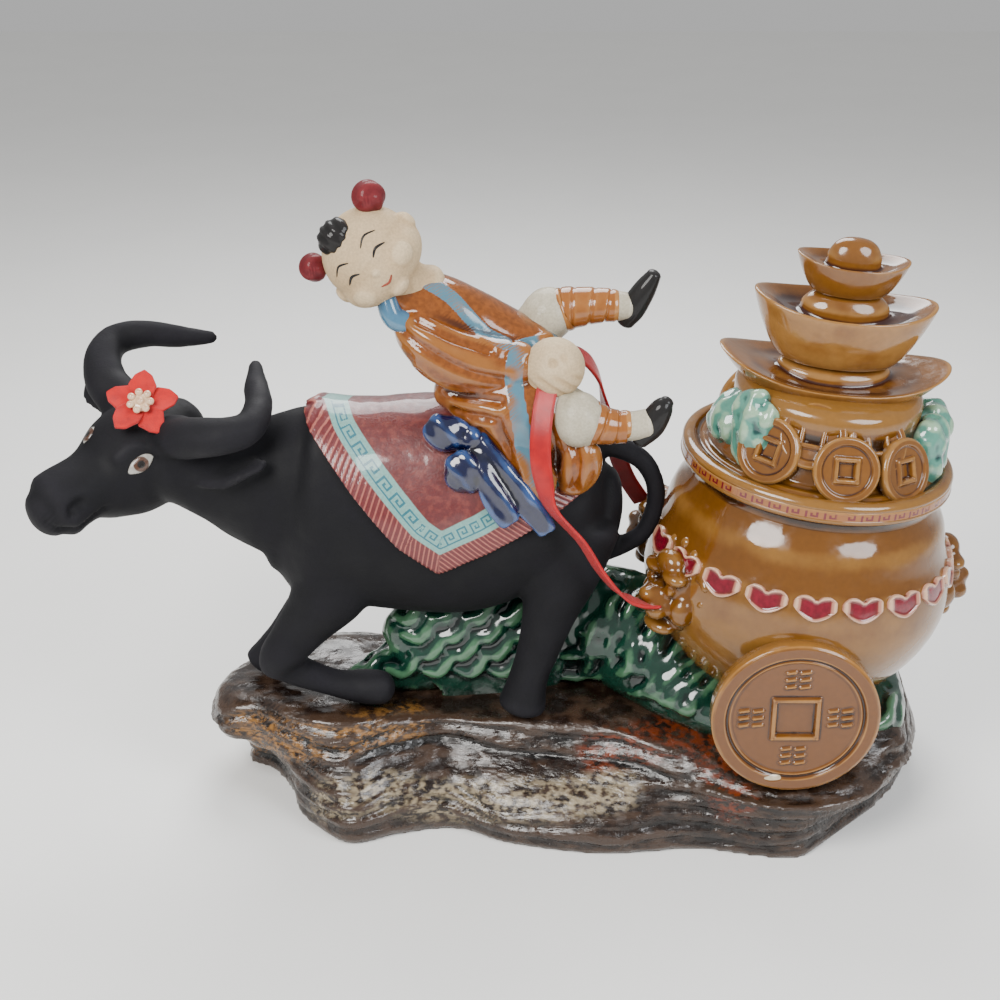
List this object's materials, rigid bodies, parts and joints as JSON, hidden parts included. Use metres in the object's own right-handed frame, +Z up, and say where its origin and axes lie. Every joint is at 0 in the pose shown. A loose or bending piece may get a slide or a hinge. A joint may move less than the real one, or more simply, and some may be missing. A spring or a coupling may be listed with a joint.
{
  "type": "glazed pottery figure group",
  "caption": "Glazed pottery group: a boy lying along the back of a kneeling water buffalo that draws a pot of treasure on coin wheels, on a rock base.",
  "frame": {"origin": "middle of the group's footprint on the surface it stands on, the free ribbon not counted", "axes": "+Z up; the buffalo walks towards -X; -Y is the show side with the near coin wheel"},
  "size_m": [0.3776, 0.1466, 0.265],
  "materials": {
    "rock_glaze": "glossy dark brown glaze over modelled rock, with green glazed grass",
    "buffalo_clay": "matte near-black unglazed clay; the cloth on its back is glazed",
    "figure_glaze": "amber glazed robe, matte unglazed face and hands",
    "pot_glaze": "glossy amber-brown glaze with maroon hearts and fret",
    "wheel_glaze": "glossy caramel-brown glaze",
    "satin": "scarlet satin",
    "felt": "bright red felt",
    "beads": "pearly cream plastic"
  },
  "bodies": {
    "root": {"rock_base": "rock_glaze", "water_buffalo": "buffalo_clay", "boy_rider": "figure_glaze", "treasure_pot": "pot_glaze", "coin_wheel_near": "wheel_glaze", "coin_wheel_far": "wheel_glaze", "rein_ribbon": "satin", "flower_petals": "felt", "flower_beads": "beads"}
  },
  "joints": []
}
